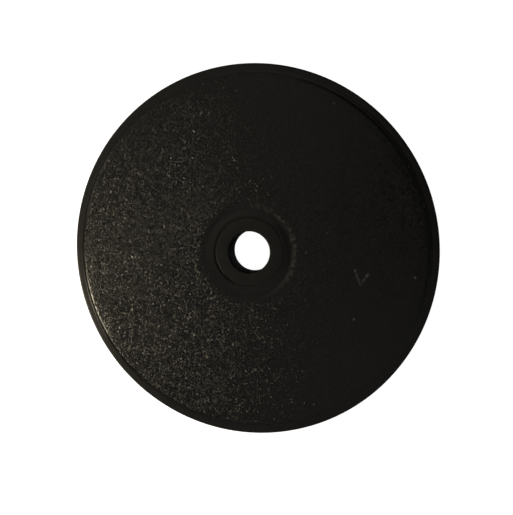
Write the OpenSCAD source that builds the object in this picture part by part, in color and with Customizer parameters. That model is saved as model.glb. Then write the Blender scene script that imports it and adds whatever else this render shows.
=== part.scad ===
// Flat round magnetic detacher for retail security tags.
// A moulded cup with a centre tube holds a steel yoke, a magnet carrier, a ring
// magnet and a circle of disc magnets under a textured cover plate. Four screws
// hold the cover from below, and four rubber feet cover the screws.
// The origin is on the counter, under the middle of the bore. +Z is up.

/* [Housing] */
// Outer diameter of the housing
body_d = 70; // [69:0.5:80]
// Height from the counter to the top of the cover
body_h = 5.8; // [5.5:0.1:9]
// Width of the smooth rim that shows round the cover
rim_w = 1.7; // [1.4:0.1:2.2]
// How far the rim's top lies below the cover's top
rim_drop = 0.25; // [0.2:0.05:0.5]
// Width of the ledge inside the rim that carries the cover
ledge_w = 1.3; // [1:0.1:1.6]
// Thickness of the floor
floor_t = 1.1; // [1:0.1:1.4]
// Radius of the lower outer edge
edge_round = 0.8; // [0.5:0.1:1]
// Radius of the fine bead along the rim's inner edge
bead_r = 0.25; // [0.15:0.05:0.3]

/* [Bore] */
// Diameter of the through bore
bore_d = 7.8; // [6:0.1:9]
// Outer diameter of the smooth collar round the bore
collar_d = 13; // [12:0.5:13.5]
// How far the collar's top lies below the cover's top
collar_drop = 0.1; // [0:0.05:0.3]
// Radius of the collar's top edges
collar_round = 0.3; // [0.1:0.1:0.5]
// Lead-in chamfer at the bore's lower end
bore_chamfer = 0.4; // [0.2:0.1:0.5]

/* [Cover] */
// Thickness of the cover plate
cover_t = 1; // [0.9:0.1:1.4]
// Gap between the cover and the rim or the collar
cover_gap = 0.1; // [0.1:0.05:0.2]
// Width of the cover's rounded outer edge
cover_edge_w = 1.6; // [1:0.1:2]
// Outer diameter of the shallow groove round the collar
groove_d = 19; // [17:0.5:24]
// Depth of the groove
groove_depth = 0.15; // [0.1:0.05:0.4]

/* [Magnets] */
// Outer diameter of the centre ring magnet
ring_magnet_d = 27; // [24:0.5:27.5]
// Diameter of each disc magnet
disc_magnet_d = 14; // [10:0.5:14]
// Number of disc magnets
disc_magnet_count = 8; // [4:4:8]
// Thickness of the steel yoke
yoke_t = 0.8; // [0.6:0.1:1]
// Thickness of the foam liner
liner_t = 0.3; // [0.2:0.1:0.4]

/* [Screws and feet] */
// Diameter over the screw's thread
screw_d = 2.2; // [2:0.1:2.2]
// Diameter of the screw's head
head_d = 4; // [3.6:0.1:4]
// Diameter of each rubber foot
foot_d = 10; // [9:0.5:10]
// Thickness of each rubber foot
foot_t = 1; // [0.9:0.1:1.1]

/* [Hidden] */
$fn = 96;
// Clearance between parts that slide over each other, and round parts that drop in
fit_gap = 0.2;
pocket_gap = 0.1;
wall_gap = 0.3;
// How far a cutting shape runs past the face that it cuts
cut = 1;

// Heights
base_z = 0.6;
foot_seat_z = foot_t;
floor_z = base_z + floor_t;
yoke_top_z = floor_z + yoke_t;
seat_z = body_h - cover_t;
magnet_top_z = seat_z - liner_t;
rim_z = body_h - rim_drop;
collar_z = body_h - collar_drop;

// Radii of the housing and the cover
body_r = body_d / 2;
bore_r = bore_d / 2;
collar_r = collar_d / 2;
hub_ledge_w = 1.3;
hub_r = collar_r + hub_ledge_w;
rim_in_r = body_r - rim_w;
wall_in_r = rim_in_r - ledge_w;
rim_round = 0.4;
bead_up = 0.06;
cover_r = rim_in_r - cover_gap;
cover_in_r = collar_r + cover_gap;
edge_start_r = cover_r - cover_edge_w;
edge_arc_r = (cover_edge_w ^ 2 + rim_drop ^ 2) / (2 * rim_drop);

// The groove's section is an arc between the cover's inner edge and groove_d
groove_r = (groove_d / 2 + cover_in_r) / 2;
groove_half_w = (groove_d / 2 - cover_in_r) / 2;
groove_arc_r = (groove_half_w ^ 2 + groove_depth ^ 2) / (2 * groove_depth);

// Blank label recess in the underside
label_border_w = 1.2;
label_in_r = hub_r + label_border_w;
label_out_r = 20;
label_depth = 0.2;

// Circles that the magnets and the screws lie on
magnet_inset = 9;
screw_inset = 4;
magnet_ring_r = wall_in_r - magnet_inset;
screw_ring_r = wall_in_r - screw_inset;
magnet_step = 360 / disc_magnet_count;
screw_count = 4;
screw_step = 360 / screw_count;
first_screw_angle = magnet_step / 2;

// Screws and their bosses
boss_r = 2.7;
boss_seat_t = 0.5;
boss_root = 0.2;
head_seat_z = floor_z + fit_gap;
boss_joint_z = head_seat_z + boss_seat_t;
head_gap = 0.05;
head_z = foot_seat_z + head_gap;
head_edge = 0.2;
screw_tip_z = seat_z - fit_gap;
cross_l = 2.4;
cross_w = 0.6;
cross_t = 0.5;
thread_pitch = 0.5;
thread_depth = 0.3;
thread_gap = 0.03;
thread_start_z = boss_joint_z + pocket_gap;
thread_count = floor((screw_tip_z - thread_start_z) / thread_pitch) - 1;
pilot_r = screw_d / 2 + thread_gap;
shaft_hole_r = screw_d / 2 + pocket_gap;

// Edges of the small parts
magnet_chamfer = 0.2;
yoke_chamfer = 0.15;
foot_chamfer = 0.3;

black_abs = "#1d1b18";
nylon = "#cfcabb";
zinc = "#9a9ea3";
nickel = "#c9c7c1";
foam = "#2c2c2e";
rubber = "#141414";

// A rectangle in a section, from r0 to r1 and from z0 to z1
module strip(r0, r1, z0, z1) {
    translate([r0, z0]) square([r1 - r0, z1 - z0]);
}

// A ring or disc with chamfered edges
module chamfered_ring(r0, r1, z0, z1, c) {
    in_c = r0 > 0 ? c : 0;
    rotate_extrude() polygon([
        [r0 + in_c, z0], [r1 - c, z0], [r1, z0 + c], [r1, z1 - c],
        [r1 - c, z1], [r0 + in_c, z1], [r0, z1 - in_c], [r0, z0 + in_c]
    ]);
}

// Children at disc magnet i
module at_magnet(i) {
    rotate([0, 0, (i - 1) * magnet_step]) translate([magnet_ring_r, 0, 0]) children();
}

// Children at screw i
module at_screw(i) {
    rotate([0, 0, first_screw_angle + (i - 1) * screw_step])
        translate([screw_ring_r, 0, 0]) children();
}

// A round boss or hole of radius r at every screw, from z0 to z1
module screw_rounds(r, z0, z1) {
    for (i = [1:screw_count])
        at_screw(i) translate([0, 0, z0]) cylinder(r = r, h = z1 - z0);
}

module base_section() {
    difference() {
        union() {
            // Floor and outer wall, with a rounded lower edge
            strip(bore_r, body_r - edge_round, base_z, floor_z);
            strip(wall_in_r, body_r, base_z + edge_round, seat_z);
            translate([body_r - edge_round, base_z + edge_round]) circle(edge_round);
            // Rim with a rounded outer edge and a fine inner bead
            strip(rim_in_r, body_r - rim_round, seat_z - cut, rim_z);
            strip(rim_in_r, body_r, seat_z - cut, rim_z - rim_round);
            translate([body_r - rim_round, rim_z - rim_round]) circle(rim_round);
            translate([rim_in_r + bead_r, rim_z + bead_up - bead_r]) circle(bead_r);
            // Hub that carries the cover, and the collar above it
            strip(bore_r, hub_r, base_z, seat_z);
            strip(bore_r, collar_r, base_z, collar_z - collar_round);
            strip(bore_r + collar_round, collar_r - collar_round, base_z, collar_z);
            for (r = [bore_r + collar_round, collar_r - collar_round])
                translate([r, collar_z - collar_round]) circle(collar_round);
        }
        strip(label_in_r, label_out_r, base_z - cut, base_z + label_depth);
        polygon([
            [bore_r - cut, base_z - cut], [bore_r + bore_chamfer + cut, base_z - cut],
            [bore_r - cut, base_z + bore_chamfer + cut]
        ]);
    }
}

module base_housing() {
    color(black_abs) difference() {
        union() {
            rotate_extrude() base_section();
            screw_rounds(boss_r, floor_z - boss_root, boss_joint_z);
        }
        screw_rounds(foot_d / 2 + fit_gap, base_z - cut, foot_seat_z);
        screw_rounds(head_d / 2 + fit_gap, base_z, head_seat_z);
        screw_rounds(shaft_hole_r, base_z, boss_joint_z + cut);
    }
}

module cover_section() {
    difference() {
        union() {
            strip(cover_in_r, edge_start_r, seat_z, body_h);
            intersection() {
                strip(edge_start_r, cover_r, seat_z, body_h);
                translate([edge_start_r, body_h - edge_arc_r]) circle(edge_arc_r);
            }
        }
        translate([groove_r, body_h - groove_depth + groove_arc_r]) circle(groove_arc_r);
    }
}

module top_cover() {
    color(black_abs) difference() {
        union() {
            rotate_extrude() cover_section();
            screw_rounds(boss_r, boss_joint_z, seat_z + boss_root);
        }
        screw_rounds(pilot_r, boss_joint_z - cut, screw_tip_z + pocket_gap);
    }
}

module back_yoke() {
    color(zinc) difference() {
        chamfered_ring(hub_r + fit_gap, wall_in_r - wall_gap, floor_z, yoke_top_z, yoke_chamfer);
        screw_rounds(boss_r + fit_gap, floor_z - cut, yoke_top_z + cut);
    }
}

module magnet_carrier() {
    color(nylon) difference() {
        translate([0, 0, yoke_top_z])
            cylinder(r = wall_in_r - wall_gap, h = magnet_top_z - yoke_top_z - pocket_gap);
        translate([0, 0, yoke_top_z - cut])
            cylinder(r = ring_magnet_d / 2 + pocket_gap, h = body_h);
        for (i = [1:disc_magnet_count])
            at_magnet(i) translate([0, 0, yoke_top_z - cut])
                cylinder(d = disc_magnet_d + 2 * pocket_gap, h = body_h);
        screw_rounds(boss_r + fit_gap, yoke_top_z - cut, magnet_top_z);
    }
}

module centre_ring_magnet() {
    color(nickel) chamfered_ring(hub_r + fit_gap, ring_magnet_d / 2,
        yoke_top_z, magnet_top_z, magnet_chamfer);
}

module outer_magnet(i) {
    color(nickel) at_magnet(i)
        chamfered_ring(0, disc_magnet_d / 2, yoke_top_z, magnet_top_z, magnet_chamfer);
}

module damping_liner() {
    color(foam) difference() {
        translate([0, 0, magnet_top_z]) cylinder(r = wall_in_r - wall_gap - fit_gap, h = liner_t);
        translate([0, 0, magnet_top_z - cut]) cylinder(r = hub_r + fit_gap, h = liner_t + 2 * cut);
        screw_rounds(boss_r + fit_gap, magnet_top_z - cut, seat_z + cut);
    }
}

// Pan head with a cross recess, a plain neck and a pointed thread
module cover_screw(i) {
    root_r = screw_d / 2 - thread_depth;
    thread = [for (k = [0:thread_count - 1], p = [[root_r, 0], [screw_d / 2, 0.5]])
        [p[0], thread_start_z + (k + p[1]) * thread_pitch]];
    color(zinc) at_screw(i) difference() {
        rotate_extrude() polygon(concat(
            [[0, head_z], [head_d / 2 - head_edge, head_z], [head_d / 2, head_z + head_edge],
                [head_d / 2, head_seat_z], [root_r, head_seat_z]],
            thread,
            [[root_r, thread_start_z + thread_count * thread_pitch], [0, screw_tip_z]]
        ));
        for (a = [0, 90])
            rotate([0, 0, a]) translate([-cross_l / 2, -cross_w / 2, head_z - cut])
                cube([cross_l, cross_w, cut + cross_t]);
    }
}

module rubber_foot(i) {
    color(rubber) at_screw(i) rotate_extrude() polygon([
        [0, 0], [foot_d / 2 - foot_chamfer, 0], [foot_d / 2, foot_chamfer],
        [foot_d / 2, foot_seat_z], [0, foot_seat_z]
    ]);
}

base_housing();
top_cover();
back_yoke();
magnet_carrier();
centre_ring_magnet();
for (i = [1:disc_magnet_count])
    outer_magnet(i);
damping_liner();
for (i = [1:screw_count])
    cover_screw(i);
for (i = [1:screw_count])
    rubber_foot(i);
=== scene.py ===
"""Looks for a flat round security tag detacher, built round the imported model.

The housing, the cover and the rubber feet are replaced by finer pieces turned from short
outlines. The sealed parts keep their CAD shape and get their own materials. All lengths
are in metres, in the row frame: the counter is z = 0 and the bore runs along +Z.
"""

import math

import bmesh
import bpy
from mathutils import Matrix, Vector, noise


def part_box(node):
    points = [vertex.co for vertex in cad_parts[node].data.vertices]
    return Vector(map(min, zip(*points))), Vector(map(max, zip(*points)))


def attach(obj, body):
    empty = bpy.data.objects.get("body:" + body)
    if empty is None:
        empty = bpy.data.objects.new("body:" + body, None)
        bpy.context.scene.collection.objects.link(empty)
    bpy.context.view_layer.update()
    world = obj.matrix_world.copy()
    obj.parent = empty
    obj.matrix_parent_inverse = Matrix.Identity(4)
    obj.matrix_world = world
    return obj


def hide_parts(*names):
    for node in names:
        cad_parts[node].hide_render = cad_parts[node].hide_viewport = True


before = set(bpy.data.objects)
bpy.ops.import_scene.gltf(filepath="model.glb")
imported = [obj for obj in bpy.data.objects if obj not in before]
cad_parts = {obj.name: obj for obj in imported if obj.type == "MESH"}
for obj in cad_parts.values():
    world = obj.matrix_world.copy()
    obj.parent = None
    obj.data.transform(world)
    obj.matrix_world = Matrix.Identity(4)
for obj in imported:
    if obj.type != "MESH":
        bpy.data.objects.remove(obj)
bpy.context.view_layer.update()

MM = 0.001
SEGMENTS = 384
FEET = range(1, 5)
# Heights or radii of CAD corners that differ by less than this are the same
SAME = 0.01 * MM
# How far a screw boss reaches into the wall that it stands on
ROOT_T = 0.2 * MM
# The side on which the cover has sunk, and the side to which its grain and the painted glints on it
# fade
SUNK_HEADING = math.radians(25)
FADE_HEADING = math.radians(12)


# ------------------------------------------------------------ sizes from the frame

def rings(node, centre=(0, 0), reach=1.0):
    """(radius, height) of each of a CAD node's corners within reach of a vertical axis."""
    corners = (v.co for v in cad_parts[node].data.vertices)
    found = ((math.hypot(c.x - centre[0], c.y - centre[1]), c.z) for c in corners)
    return [(r, z) for r, z in found if r < reach]


def distinct(values, step=3 * SAME):
    """The sorted values, without those that are within a step of the one before."""
    kept = []
    for value in sorted(values):
        if not kept or value - kept[-1] > step:
            kept.append(value)
    return kept


def radii_at(found, height):
    """The distinct radii of the corners at one height."""
    return distinct(r for r, z in found if abs(z - height) < SAME)


def heights_at(found, radius):
    """The distinct heights of the corners at one radius."""
    return distinct(z for r, z in found if abs(r - radius) < SAME)


house = rings("base_housing")
plate = rings("top_cover")

BASE_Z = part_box("base_housing")[0].z
TOP_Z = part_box("top_cover")[1].z
BODY_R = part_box("base_housing")[1].x
COVER_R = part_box("top_cover")[1].x
BORE_R = min(r for r, z in house)
COVER_IN_R = min(r for r, z in plate)
SEAT_Z = heights_at(plate, COVER_IN_R)[0]
RIM_Z = heights_at(plate, COVER_R)[-1]
BEAD_Z = max(z for r, z in house if r > COVER_R)
COLLAR_Z = max(z for r, z in house if r < COVER_IN_R)
GROOVE_R = radii_at(plate, TOP_Z)[1]
GROOVE_Z = min(z for r, z in plate if r < GROOVE_R and z > (SEAT_Z + TOP_Z) / 2)
COLLAR_R, HUB_R, WALL_R, RIM_IN_R = radii_at(house, SEAT_Z)
FLOOR_Z = heights_at(house, WALL_R)[0]
LABEL_IN_R, LABEL_OUT_R = radii_at(house, BASE_Z)[1:3]
LABEL_Z = heights_at(house, LABEL_IN_R)[-1]
LOWER_ROUND = BODY_R - radii_at(house, BASE_Z)[-1]


def foot_centre(i):
    """Where the axis of a foot, and of the screw above it, stands."""
    low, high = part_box(f"rubber_foot_{i}")
    return (low.x + high.x) / 2, (low.y + high.y) / 2


FOOT_R = (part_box("rubber_foot_1")[1].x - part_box("rubber_foot_1")[0].x) / 2
FOOT_TOP_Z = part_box("rubber_foot_1")[1].z
RECESS_R = radii_at(rings("base_housing", foot_centre(1), 6 * MM), BASE_Z)[0]
boss = rings("base_housing", foot_centre(1), 3.5 * MM)
BOSS_TOP_Z = max(z for r, z in boss)
SHAFT_R, BOSS_R = radii_at(boss, BOSS_TOP_Z)
HEAD_SEAT_Z = heights_at(boss, SHAFT_R)[0]
COUNTERBORE_R = radii_at(boss, HEAD_SEAT_Z)[-1]
pilot = rings("top_cover", foot_centre(1), 3.5 * MM)
PILOT_R = min(r for r, z in pilot)
PILOT_TOP_Z = heights_at(pilot, PILOT_R)[-1]


# ------------------------------------------------------------------- turned shapes

def rounded(corners, turn=math.radians(9)):
    """A closed section through corners of (radius, height, fillet[, division])."""
    points = []
    for i, corner in enumerate(corners):
        here = Vector(corner[:2])
        to_last = (Vector(corners[i - 1][:2]) - here).normalized()
        to_next = (Vector(corners[(i + 1) % len(corners)][:2]) - here).normalized()
        fillet = corner[2]
        if fillet:
            half = to_last.angle(to_next) / 2
            centre = here + (to_last + to_next).normalized() * fillet / math.sin(half)
            start = here + to_last * fillet / math.tan(half) - centre
            sweep = start.angle_signed(here + to_next * fillet / math.tan(half) - centre)
            steps = max(3, math.ceil(abs(sweep) / turn))
            for k in range(steps + 1):
                angle = -sweep * k / steps
                c, s = math.cos(angle), math.sin(angle)
                points.append(centre + Vector((c * start.x - s * start.y, s * start.x + c * start.y)))
        else:
            points.append(here)
        if len(corner) > 3:
            end = Vector(corners[(i + 1) % len(corners)][:2])
            count = int((end - points[-1]).length / corner[3])
            begin = points[-1]
            points += [begin.lerp(end, k / count) for k in range(1, count)]
    return points


def turned(name, section, centre=(0, 0), segments=SEGMENTS):
    """A solid of revolution of a closed section about a vertical axis."""
    mesh = bpy.data.meshes.new(name)
    shape = bmesh.new()
    columns = []
    for k in range(segments):
        angle = 2 * math.pi * k / segments
        c, s = math.cos(angle), math.sin(angle)
        columns.append([shape.verts.new((centre[0] + p.x * c, centre[1] + p.x * s, p.y))
                        for p in section])
    for k, column in enumerate(columns):
        after = columns[(k + 1) % segments]
        for j in range(len(section)):
            n = (j + 1) % len(section)
            shape.faces.new((column[j], after[j], after[n], column[n]))
    bmesh.ops.remove_doubles(shape, verts=shape.verts, dist=1e-7)
    bmesh.ops.recalc_face_normals(shape, faces=shape.faces)
    shape.to_mesh(mesh)
    shape.free()
    piece = bpy.data.objects.new(name, mesh)
    bpy.context.scene.collection.objects.link(piece)
    return piece


def carve(piece, added=(), removed=()):
    """Joins some shapes to a piece and cuts others out of it, then deletes them."""
    for operation, tools in (("UNION", added), ("DIFFERENCE", removed)):
        for tool in tools:
            step = piece.modifiers.new(tool.name, "BOOLEAN")
            step.operation = operation
            step.solver = "MANIFOLD"
            step.object = tool
    settled = piece.evaluated_get(bpy.context.evaluated_depsgraph_get())
    mesh = bpy.data.meshes.new_from_object(settled)
    piece.modifiers.clear()
    piece.data = mesh
    for tool in (*added, *removed):
        bpy.data.objects.remove(tool)


def smooth(piece, angle=math.radians(35)):
    """Smooth shading that keeps sharp edges sharp and flat faces flat."""
    piece.data.shade_smooth()
    piece.data.set_sharp_from_angle(angle=angle)
    weighted = piece.modifiers.new("flat_faces", "WEIGHTED_NORMAL")
    weighted.keep_sharp = True


def finish_piece(piece, cad_node, material):
    """Smooths a piece, and puts it in the place of a CAD node with its material slot."""
    piece.data.materials.clear()
    piece.data.materials.append(material)
    smooth(piece)
    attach(piece, "root")
    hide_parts(cad_node)


# ----------------------------------------------------------------------- materials

def node(tree, kind, inputs=None, **settings):
    """A shader node with its settings, and its inputs set to values or linked to sockets."""
    made = tree.nodes.new("ShaderNode" + kind)
    for key, value in settings.items():
        setattr(made, key, value)
    for key, value in (inputs or {}).items():
        if isinstance(value, bpy.types.NodeSocket):
            tree.links.new(value, made.inputs[key])
        else:
            made.inputs[key].default_value = value
    return made


class Surface:
    """A procedural material. Its coordinates are the row frame's, in millimetres."""

    def __init__(self, name, **uniform):
        self.material = bpy.data.materials.new(name)
        self.material.use_nodes = True
        self.tree = self.material.node_tree
        self.shader = self.tree.nodes["Principled BSDF"]
        for key, value in uniform.items():
            self.shader.inputs[key.replace("_", " ")].default_value = value
        place = node(self.tree, "TexCoord").outputs["Object"]
        self.mm = node(self.tree, "VectorMath", {0: place, "Scale": 1 / MM},
                       operation="SCALE").outputs[0]

    def noise(self, size, detail=2.0, rough=0.5, stretch=(1, 1, 1)):
        """Soft noise from 0 to 1, with features of about the given size in mm."""
        place = node(self.tree, "VectorMath", {0: self.mm, 1: stretch}, operation="MULTIPLY")
        return node(self.tree, "TexNoise", {"Vector": place.outputs[0], "Scale": 0.5 / size,
                                            "Detail": detail, "Roughness": rough}).outputs[0]

    def cells(self, size, output="Distance", feature="F1"):
        """Cells of about the given size in mm: a distance within each, or one value for each."""
        return node(self.tree, "TexVoronoi", {"Vector": self.mm, "Scale": 1 / size},
                    feature=feature).outputs[output]

    def facets(self, size, steep):
        """Height in mm of flat-sided grains of about the given size, of all slopes up to steep."""
        edge = self.cells(size, "Distance", "DISTANCE_TO_EDGE")
        share = self.math("POWER", self.cells(size, "Color"), 1.2)
        return self.math("MULTIPLY", edge, self.math("MULTIPLY", share, steep * size))

    def specks(self, size):
        """Mask of rare round specks, a tenth as wide as the cells of the given size in mm."""
        cell = node(self.tree, "TexVoronoi", {"Vector": self.mm, "Scale": 1 / size},
                    feature="F1", voronoi_dimensions="2D")
        rare = self.spread(cell.outputs["Color"], 0.84, 0.88)
        dot = self.spread(cell.outputs["Distance"], 0.03, 0.08, 0.28, 0.0)
        return self.math("MULTIPLY", rare, dot)

    def scratch(self, start, end, width):
        """Mask of a straight scratch between two places on the top, in mm."""
        along = Vector((end[0] - start[0], end[1] - start[1], 0))
        place = node(self.tree, "VectorMath", {0: self.mm, 1: (*start, TOP_Z / MM)},
                     operation="SUBTRACT")
        share = node(self.tree, "VectorMath", {0: place.outputs[0], 1: along / along.length_squared},
                     operation="DOT_PRODUCT").outputs["Value"]
        share = self.math("MINIMUM", self.math("MAXIMUM", share, 0.0), 1.0)
        foot = node(self.tree, "VectorMath", {0: along, "Scale": share}, operation="SCALE")
        away = node(self.tree, "VectorMath", {0: place.outputs[0], 1: foot.outputs[0]},
                    operation="DISTANCE").outputs["Value"]
        return self.spread(away, width / 4, width, 1.0, 0.0)

    def radius(self):
        """Distance from the bore's axis, in mm."""
        flat = node(self.tree, "VectorMath", {0: self.mm, 1: (1, 1, 0)}, operation="MULTIPLY")
        return node(self.tree, "VectorMath", {0: flat.outputs[0]},
                    operation="LENGTH").outputs["Value"]

    def toward(self, heading):
        """Distance in mm from the bore's axis in one direction, negative on the other side."""
        direction = (math.cos(heading), math.sin(heading), 0)
        return node(self.tree, "VectorMath", {0: self.mm, 1: direction},
                    operation="DOT_PRODUCT").outputs["Value"]

    def math(self, operation, first, second=0.0, third=0.0):
        return node(self.tree, "Math", {0: first, 1: second, 2: third},
                    operation=operation).outputs[0]

    def spread(self, value, low, high, to_low=0.0, to_high=1.0):
        """A value moved smoothly from one range to another, and held at its ends."""
        return node(self.tree, "MapRange", {"Value": value, "From Min": low, "From Max": high,
                                            "To Min": to_low, "To Max": to_high},
                    interpolation_type="SMOOTHSTEP").outputs[0]

    def colour(self, factor, first, second, marks_and_highlight=0.0, mark_and_highlight_colour=(0, 0, 0)):
        """Base colour between two colours, with a third colour laid over it where a mask says: worn
        places, dust and painted highlights.
        """
        ramp = node(self.tree, "ValToRGB", {"Fac": factor})
        ramp.color_ramp.elements[0].color = (*first, 1)
        ramp.color_ramp.elements[1].color = (*second, 1)
        marked = node(self.tree, "MixRGB", {"Fac": marks_and_highlight, "Color1": ramp.outputs["Color"],
                                            "Color2": (*mark_and_highlight_colour, 1)})
        self.tree.links.new(marked.outputs["Color"], self.shader.inputs["Base Color"])

    def roughness(self, value):
        self.tree.links.new(value, self.shader.inputs["Roughness"])

    def relief(self, height):
        """Bump from a height in mm."""
        bump = node(self.tree, "Bump", {"Height": height, "Distance": MM, "Strength": 1.0})
        self.tree.links.new(bump.outputs[0], self.shader.inputs["Normal"])


def cover_plastic():
    """Black ABS with a fine spark-eroded grain, which fades out in the groove and to one side.

    It is worn by rubbing on the groove's outer wall where the plate has sunk. That wall is painted
    paler there, partly for that wear and partly as a painted highlight where it faces the light.
    Its grains are painted lighter and darker, partly as random tone and partly as painted glints, most
    on the lit side.
    It has a few specks of dust and one small scuff of two strokes.
    """
    s = Surface("cover_plastic", IOR=1.5)
    radius = s.radius()
    hub, groove_edge, edge = HUB_R / MM, GROOVE_R / MM, COVER_R / MM

    # Grain: strong on one side and weak on the other, with none at the collar and the edge
    grain, steep = 0.24, 0.85
    grained = s.math("MULTIPLY", s.spread(radius, hub + 0.2, groove_edge + 1.0),
                     s.spread(radius, edge - 0.35, edge - 0.1, 1.0, 0.2))
    fade_half_w = 25
    ahead = s.toward(FADE_HEADING)
    depth = s.math("MULTIPLY", grained, s.spread(ahead, -fade_half_w, fade_half_w, 1.35, 0.40))
    patches = s.spread(s.noise(1.5, 3.0, 0.6), 0.3, 0.7, 0.85, 1.15)
    height = s.math("MULTIPLY_ADD", s.noise(grain / 2, 1.0), 0.006, s.facets(grain, steep))
    height = s.math("MULTIPLY", height, s.math("MULTIPLY", patches, depth))
    height = s.math("MULTIPLY_ADD", s.noise(0.15), 0.002, height)
    height = s.math("MULTIPLY_ADD", s.noise(3.5), 0.02, height)
    s.relief(height)
    s.roughness(s.spread(s.noise(0.6, 3.0), 0.3, 0.7, 0.18, 0.26))

    # Lighter places: the groove's outer wall where the plate has sunk, worn by rubbing and also a
    # painted highlight where it faces the light, then dust, and the scuff
    sunk = s.spread(s.math("DIVIDE", s.toward(SUNK_HEADING), radius), 0.1, 0.8)
    wall = s.math("MULTIPLY", s.spread(radius, hub + 0.3, hub + 0.8),
                  s.spread(radius, groove_edge - 0.6, groove_edge + 0.1, 1.0, 0.0))
    # The wall on the sunk side is painted paler: partly wear by rubbing, partly a painted highlight
    # where it faces the light
    rubbed_and_highlight = s.spread(s.noise(0.35, 3.0, 0.7), 0.45, 0.7, 0.0, 0.18)
    marks_and_highlight = s.math("MULTIPLY", s.math("MULTIPLY", wall, sunk), rubbed_and_highlight)
    marks_and_highlight = s.math("MAXIMUM", marks_and_highlight, s.specks(4.0))
    scuff_tip, stroke_w = (20.95, -5.6), 0.36
    broken = s.spread(s.noise(0.4), 0.4, 0.65, 0.05, 0.25)
    for scuff_end in ((19.9, -3.0), (22.3, -3.6)):
        stroke = s.math("MULTIPLY", s.scratch(scuff_tip, scuff_end, stroke_w), broken)
        marks_and_highlight = s.math("MAXIMUM", marks_and_highlight, stroke)

    # Colour: soft clouds, and grains painted lighter and darker where they are strong: partly random
    # grain tone and partly painted glints, strongest on the lit side
    share = s.math("MULTIPLY", grained, s.spread(ahead, -fade_half_w, fade_half_w, 1.4, 0.1))
    grain_tone_and_glints = s.math("MULTIPLY", s.spread(s.cells(grain, "Color"), 0.25, 0.8, -0.38, 0.38), share)
    clouds = s.math("MULTIPLY_ADD", s.noise(2.2, 4.0, 0.65), 0.25, 0.37)
    # The pale third colour is dust, the scuff, and the wear and painted highlight on the groove's wall
    s.colour(s.math("ADD", clouds, grain_tone_and_glints), (0.003, 0.0029, 0.0026), (0.032, 0.0313, 0.0280),
             marks_and_highlight, (0.5, 0.48, 0.42))
    return s.material


def housing_plastic():
    """Black ABS off a polished tool: satin, with faint flow marks, and glossy on the bead."""
    s = Surface("housing_plastic", IOR=1.5)
    bead_half_w = 0.2
    bead_middle = RIM_IN_R / MM + bead_half_w
    height = s.math("MULTIPLY", s.noise(0.12, 2.0), 0.002)
    height = s.math("MULTIPLY_ADD", s.noise(2.5), 0.008, height)
    s.relief(height)
    beyond = s.math("ABSOLUTE", s.math("SUBTRACT", s.radius(), bead_middle))
    satin = s.spread(s.noise(1.2, 4.0, 0.6), 0.3, 0.7, 0.34, 0.44)
    s.roughness(s.math("MULTIPLY", satin, s.spread(beyond, bead_half_w, bead_half_w + 0.15, 0.5, 1.0)))
    s.colour(s.spread(s.noise(1.8, 3.0), 0.3, 0.7), (0.012, 0.0110, 0.0093), (0.017, 0.0157, 0.0133))
    return s.material


def foot_rubber():
    """Matt black rubber with dusty patches."""
    s = Surface("foot_rubber", IOR=1.48)
    s.relief(s.math("MULTIPLY", s.noise(0.15, 3.0), 0.01))
    s.roughness(s.spread(s.noise(0.8, 3.0), 0.3, 0.7, 0.7, 0.9))
    dust = s.spread(s.noise(1.2, 4.0, 0.7), 0.45, 0.75)
    s.colour(dust, (0.012, 0.012, 0.0125), (0.035, 0.034, 0.032))
    return s.material


def zinc_steel(name):
    """Bright zinc plate over pressed steel: spangled, with fine rolling lines."""
    s = Surface(name, Metallic=1.0)
    lines = s.noise(0.12, 2.0, 0.6, (0.05, 1, 1))
    s.relief(s.math("MULTIPLY", lines, 0.002))
    dull = s.math("MULTIPLY_ADD", lines, 0.5, s.noise(1.5, 3.0))
    s.roughness(s.spread(dull, 0.4, 1.0, 0.22, 0.42))
    s.colour(s.spread(s.cells(1.6), 0.1, 0.8), (0.50, 0.52, 0.55), (0.66, 0.67, 0.69))
    return s.material


def magnet_nickel():
    """Nickel plate on a sintered magnet: bright, with a faint orange peel."""
    s = Surface("magnet_nickel", Metallic=1.0)
    s.relief(s.math("MULTIPLY", s.noise(0.3, 2.0), 0.003))
    s.roughness(s.spread(s.noise(0.9, 4.0, 0.6), 0.3, 0.7, 0.12, 0.26))
    s.colour(s.spread(s.noise(2.5, 3.0), 0.3, 0.7), (0.62, 0.59, 0.53), (0.74, 0.72, 0.68))
    return s.material


def carrier_nylon():
    """Natural nylon: milky, slightly translucent, with flow lines."""
    s = Surface("carrier_nylon", IOR=1.53)
    s.shader.inputs["Subsurface Weight"].default_value = 0.15
    s.shader.inputs["Subsurface Scale"].default_value = 0.5 * MM
    s.relief(s.math("MULTIPLY", s.noise(0.4, 3.0), 0.004))
    s.roughness(s.spread(s.noise(1.5, 3.0), 0.3, 0.7, 0.4, 0.58))
    flow = s.spread(s.noise(4.0, 4.0, 0.6, (1, 0.35, 1)), 0.3, 0.7)
    s.colour(flow, (0.66, 0.62, 0.52), (0.76, 0.73, 0.65))
    return s.material


def liner_foam():
    """Black closed-cell foam, cut from sheet."""
    s = Surface("liner_foam", IOR=1.45)
    pores = s.cells(0.3)
    s.relief(s.math("MULTIPLY", pores, 0.05))
    s.roughness(s.spread(pores, 0.1, 0.6, 0.95, 0.8))
    s.colour(s.spread(pores, 0.1, 0.6), (0.012, 0.012, 0.013), (0.04, 0.04, 0.042))
    return s.material


# -------------------------------------------------------------------------- pieces

def screw_tool(name, i, corners):
    """A shape turned about a screw's axis, to be joined to a piece or cut out of it."""
    return turned(f"{name}_{i}", rounded(corners), foot_centre(i), 96)


def screw_post(name, i, root_z):
    """A screw boss, from its root inside a piece to the height where the two bosses meet."""
    return screw_tool(name, i, [
        (0, root_z, 0),
        (BOSS_R, root_z, 0),
        (BOSS_R, BOSS_TOP_Z, 0.15 * MM),
        (0, BOSS_TOP_Z, 0),
    ])


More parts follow.
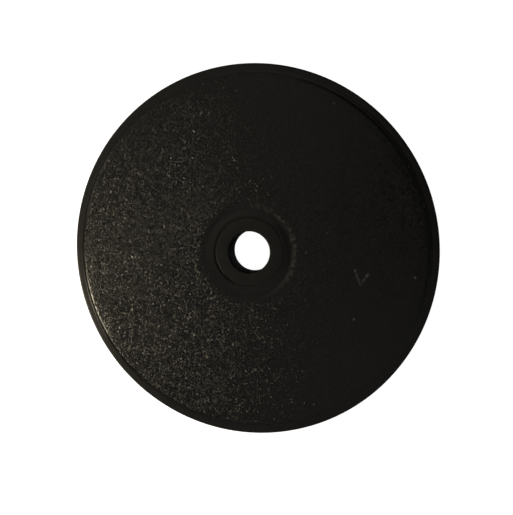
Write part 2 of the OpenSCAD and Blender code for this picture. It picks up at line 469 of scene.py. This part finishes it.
def housing():
    """The cup: floor, rim with its fine bead, hub and collar, bosses and foot recesses."""
    bead_w, bead_round = 0.5 * MM, 0.3 * MM
    part_line, part_line_up = 0.02 * MM, 0.9 * MM
    part_line_z = BASE_Z + LOWER_ROUND + part_line_up
    crisp, inner_round = 0.05 * MM, 0.25 * MM
    rim_round, bore_round, bore_lower_round = 0.4 * MM, 0.3 * MM, 0.35 * MM
    section = rounded([
        (BORE_R, BASE_Z, bore_lower_round),
        (LABEL_IN_R, BASE_Z, crisp),
        (LABEL_IN_R, LABEL_Z, crisp),
        (LABEL_OUT_R, LABEL_Z, crisp),
        (LABEL_OUT_R, BASE_Z, crisp),
        (BODY_R, BASE_Z, LOWER_ROUND),
        (BODY_R, part_line_z - 2 * part_line, 0),
        (BODY_R + part_line, part_line_z, 0),
        (BODY_R, part_line_z + 2 * part_line, 0),
        (BODY_R, RIM_Z, rim_round),
        (RIM_IN_R + bead_w, RIM_Z, bead_round),
        (RIM_IN_R + bead_w * 0.6, BEAD_Z - 0.02 * MM, bead_round),
        (RIM_IN_R, BEAD_Z - 0.03 * MM, 0.02 * MM),
        (RIM_IN_R, SEAT_Z, 0),
        (WALL_R, SEAT_Z, crisp),
        (WALL_R, FLOOR_Z, inner_round),
        (HUB_R, FLOOR_Z, inner_round),
        (HUB_R, SEAT_Z, crisp),
        (COLLAR_R, SEAT_Z, 0),
        (COLLAR_R, COLLAR_Z, 0.1 * MM),
        (BORE_R, COLLAR_Z, bore_round),
    ])
    piece = turned("housing_shell", section)
    lead_in = 0.1 * MM
    posts, cutters = [], []
    for i in FEET:
        posts.append(screw_post("post", i, FLOOR_Z - ROOT_T))
        cutters.append(screw_tool("recess", i, [
            (0, 0, 0),
            (RECESS_R + lead_in, 0, 0),
            (RECESS_R + lead_in, BASE_Z, 0),
            (RECESS_R, BASE_Z + lead_in, lead_in),
            (RECESS_R, FOOT_TOP_Z, 0),
            (COUNTERBORE_R, FOOT_TOP_Z, 0),
            (COUNTERBORE_R, HEAD_SEAT_Z, 0),
            (SHAFT_R, HEAD_SEAT_Z, 0),
            (SHAFT_R, TOP_Z, 0),
            (0, TOP_Z, 0),
        ]))
    carve(piece, posts, cutters)
    return piece


def ease(t):
    """A share from 0 to 1 that starts and ends slowly, and is held at 1."""
    t = min(1, t)
    return t * t * (3 - 2 * t)


def groove(r, heading):
    """How far the cover's top is below the flat, in the groove and on the lip round the collar.

    The plate has sunk a little on one side, so there the lip falls level with the collar and
    the groove's outer wall is steep. On the other side the wall runs out slowly.
    """
    sunk = 0.5 + 0.5 * math.cos(heading - SUNK_HEADING)

    def blend(level_side, sunk_side):
        return level_side + (sunk_side - level_side) * sunk

    depth = TOP_Z - GROOVE_Z
    lip = depth * blend(0.05, 0.73)
    valley = depth * blend(0.35, 1.03)
    valley_r = HUB_R + blend(0.5, 0.25) * MM
    outer_r = GROOVE_R + blend(0.6, -0.5) * MM
    if r < valley_r:
        edge_w, edge_drop = 0.4 * MM, blend(0.07, 0) * MM
        edge = edge_drop * max(0, 1 - (r - COVER_IN_R) / edge_w) ** 2
        return valley + (lip - valley) * ease((valley_r - r) / (valley_r - COVER_IN_R)) + edge
    return valley * (1 - ease((r - valley_r) / (outer_r - valley_r)))


def cover():
    """The plate let into the rim, with its shallow groove and its screw posts below."""
    seam = 0.02 * MM
    crown_w, crown_round = 1.8 * MM, 8.0 * MM
    edge_w, edge_drop, edge_round = 0.4 * MM, 0.07 * MM, 1.2 * MM
    wall_drop, inner_drop, inner_w = 0.18 * MM, 0.04 * MM, 0.05 * MM
    wave, wander_most = 1.3 * MM, 0.25
    ripple, ripple_size = 0.012 * MM, 4 * MM
    section = rounded([
        (COLLAR_R + seam, SEAT_Z, 0.05 * MM),
        (RIM_IN_R - seam, SEAT_Z, 0.1 * MM),
        (RIM_IN_R - seam, RIM_Z, 0),
        (COVER_R, RIM_Z + seam, 0),
        (COVER_R, TOP_Z - wall_drop, 0.04 * MM),
        (COVER_R - edge_w, TOP_Z - edge_drop, edge_round),
        (COVER_R - crown_w, TOP_Z, crown_round, 0.4 * MM),
        (GROOVE_R + wave, TOP_Z, 0, 0.1 * MM),
        (COVER_IN_R + inner_w, TOP_Z, 0, 0.05 * MM),
        (COVER_IN_R, TOP_Z - inner_drop, 0),
        (COLLAR_R + seam, COLLAR_Z - inner_drop, 0),
    ])
    piece = turned("cover_plate", section)
    for v in piece.data.vertices:
        r = math.hypot(v.co.x, v.co.y)
        if v.co.z > RIM_Z and r > COVER_IN_R - seam:
            wander = wander_most * min(MM, max(0, r - COVER_IN_R)) * noise.noise(v.co / wave)
            v.co.z -= groove(r + wander, math.atan2(v.co.y, v.co.x))
            v.co.z += ripple * noise.noise(v.co / ripple_size)
    posts, cutters = [], []
    for i in FEET:
        posts.append(screw_post("cover_post", i, SEAT_Z + ROOT_T))
        cutters.append(screw_tool("pilot", i, [
            (0, BASE_Z, 0),
            (PILOT_R, BASE_Z, 0),
            (PILOT_R, PILOT_TOP_Z, 0),
            (0, PILOT_TOP_Z, 0),
        ]))
    carve(piece, posts, cutters)
    return piece


def foot(i):
    """A moulded rubber foot with two fine grooves in its tread."""
    groove_w, groove_t, crisp = 0.5 * MM, 0.15 * MM, 0.05 * MM
    tread_inset, tread_round = 0.08 * MM, 0.25 * MM
    corners = [(0, 0, 0)]
    for r in (FOOT_R * 0.4, FOOT_R * 0.7):
        corners += [
            (r - groove_w / 2, 0, crisp),
            (r - groove_w / 4, groove_t, crisp),
            (r + groove_w / 4, groove_t, crisp),
            (r + groove_w / 2, 0, crisp),
        ]
    corners += [
        (FOOT_R - tread_inset, 0, tread_round),
        (FOOT_R, FOOT_TOP_Z, 0.1 * MM),
        (0, FOOT_TOP_Z, 0),
    ]
    return turned(f"foot_pad_{i}", rounded(corners), foot_centre(i), 128)


finish_piece(housing(), "base_housing", housing_plastic())
finish_piece(cover(), "top_cover", cover_plastic())
rubber = foot_rubber()
for i in FEET:
    finish_piece(foot(i), f"rubber_foot_{i}", rubber)

SEALED = {
    "back_yoke": zinc_steel("yoke_steel"),
    "magnet_carrier": carrier_nylon(),
    "centre_ring_magnet": magnet_nickel(),
    "damping_liner": liner_foam(),
    "cover_screw": zinc_steel("screw_zinc"),
}
SEALED["outer_magnet"] = SEALED["centre_ring_magnet"]
for name, cad_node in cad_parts.items():
    for start, material in SEALED.items():
        if name.startswith(start):
            cad_node.data.materials.clear()
            cad_node.data.materials.append(material)


# ------------------------------------------------------------- floor, light, camera

def pale_floor():
    """A plain white floor, which neither lights the object nor is mirrored in it."""
    mesh = bpy.data.meshes.new("floor")
    half = 3.0
    corners = [(-half, -half, 0), (half, -half, 0), (half, half, 0), (-half, half, 0)]
    mesh.from_pydata(corners, [], [(0, 1, 2, 3)])
    floor = bpy.data.objects.new("floor", mesh)
    bpy.context.scene.collection.objects.link(floor)
    paper = bpy.data.materials.new("floor_paper")
    paper.use_nodes = True
    shader = paper.node_tree.nodes["Principled BSDF"]
    shader.inputs["Base Color"].default_value = (0.9, 0.9, 0.9, 1)
    shader.inputs["Roughness"].default_value = 0.9
    shader.inputs["Emission Color"].default_value = (1, 1, 1, 1)
    shader.inputs["Emission Strength"].default_value = 1.0
    mesh.materials.append(paper)
    floor.visible_diffuse = False
    floor.visible_glossy = False


def soft_light(name, place, size, power, colour, target=(0, 0, 0), gloss=True):
    """A round area light that faces its target and that the camera doesn't see."""
    data = bpy.data.lights.new(name, "AREA")
    data.shape = "DISK"
    data.size = size
    data.energy = power
    data.color = colour
    lamp = bpy.data.objects.new(name, data)
    bpy.context.scene.collection.objects.link(lamp)
    lamp.location = place
    lamp.rotation_euler = (Vector(target) - Vector(place)).to_track_quat("-Z", "Y").to_euler()
    lamp.visible_camera = False
    lamp.visible_glossy = gloss


def around(heading, height, distance):
    """A place at a heading and a height in degrees, and a distance in mm from the origin."""
    a, e = math.radians(heading), math.radians(height)
    flat = distance * MM * math.cos(e)
    return flat * math.cos(a), flat * math.sin(a), distance * MM * math.sin(e)


def add_camera():
    """Nearly straight down, leaning to the right and a little up the picture."""
    middle = Vector((0.9 * MM, -1.22 * MM, (BASE_Z + TOP_Z) / 2))
    height_angle, heading, distance = 76.9, 25.4, 151.1
    out = Vector(around(heading, height_angle, distance))
    data = bpy.data.cameras.new("camera")
    data.sensor_width = 36
    data.lens = 55.25
    data.clip_start = 0.01
    camera = bpy.data.objects.new("camera", data)
    bpy.context.scene.collection.objects.link(camera)
    back = out.normalized()
    across = Vector((0, 1, 0)).cross(back).normalized()
    turn = Matrix((across, back.cross(across), back)).transposed()
    camera.matrix_world = Matrix.Translation(middle + out) @ turn.to_4x4()
    bpy.context.scene.camera = camera


pale_floor()
soft_light("key", around(200, 26, 120), 30 * MM, 0.045, (1.0, 0.87, 0.63))
soft_light("side_key", around(165, 28, 130), 30 * MM, 0.005, (1.0, 0.87, 0.63))
soft_light("left_fill", around(200, 60, 450), 400 * MM, 0.012, (1.0, 0.93, 0.80))
soft_light("back_fill", around(140, 50, 450), 600 * MM, 0.195, (1.0, 0.96, 0.88))
soft_light("front_fill", around(270, 45, 450), 700 * MM, 0.175, (1.0, 0.94, 0.98))
soft_light("right_fill", around(0, 35, 450), 700 * MM, 0.056, (0.72, 1.0, 1.0))
soft_light("bounce", (0, 0, 0.02 * MM), 200 * MM, 0.25, (1.0, 1.0, 1.0), (0, 0, 1), gloss=False)
add_camera()

# White behind the floor, which neither lights the object nor is mirrored in it
world = bpy.data.worlds.new("world")
world.use_nodes = True
world.node_tree.nodes["Background"].inputs["Color"].default_value = (1, 1, 1, 1)
world.node_tree.nodes["Background"].inputs["Strength"].default_value = 1.0
world.cycles_visibility.diffuse = False
world.cycles_visibility.glossy = False
bpy.context.scene.world = world
bpy.context.scene.view_settings.view_transform = "Standard"
